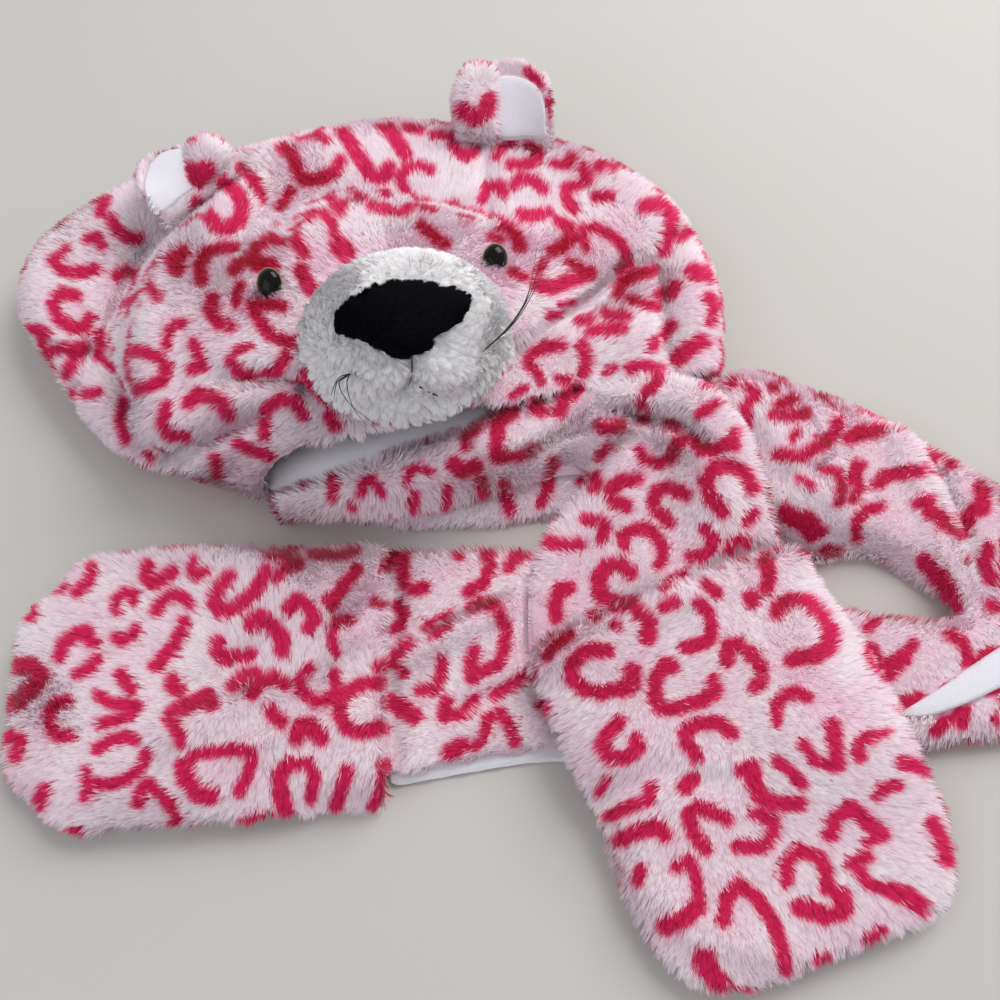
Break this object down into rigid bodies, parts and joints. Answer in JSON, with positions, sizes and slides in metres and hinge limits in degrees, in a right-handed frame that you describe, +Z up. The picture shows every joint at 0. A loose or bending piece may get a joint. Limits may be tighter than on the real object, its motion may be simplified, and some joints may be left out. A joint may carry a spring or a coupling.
{
  "type": "animal hood scarf",
  "caption": "Plush animal hood with round ears, padded muzzle and attached scarf ending in hand pockets, lying folded on a flat surface",
  "frame": {"origin": "middle of the bounding box's underside, on the surface that the scarf lies on", "axes": "+X to the right of the animal's face seen from the front, +Y away from the wearer's opening towards the crown, +Z up"},
  "size_m": [0.5338, 0.4728, 0.1167],
  "materials": {
    "plush": "long-pile pink and white leopard print plush",
    "fleece": "short smooth white fleece lining",
    "muzzle_plush": "dense white plush",
    "nose_plush": "black plush patch",
    "eye": "glossy black domes"
  },
  "bodies": {
    "root": {"hood_crown": "plush", "ear_left": "plush", "ear_right": "plush", "scarf_nape": "plush", "tail_a": "plush", "tail_b": "plush", "pocket_a": "plush", "pocket_b": "plush", "hood_lining": "fleece", "ear_left_lining": "fleece", "ear_right_lining": "fleece", "tail_b_lining": "fleece", "tail_b_lining_turn": "fleece", "muzzle": "muzzle_plush", "nose": "nose_plush", "eye_left": "eye", "eye_right": "eye"}
  },
  "joints": []
}
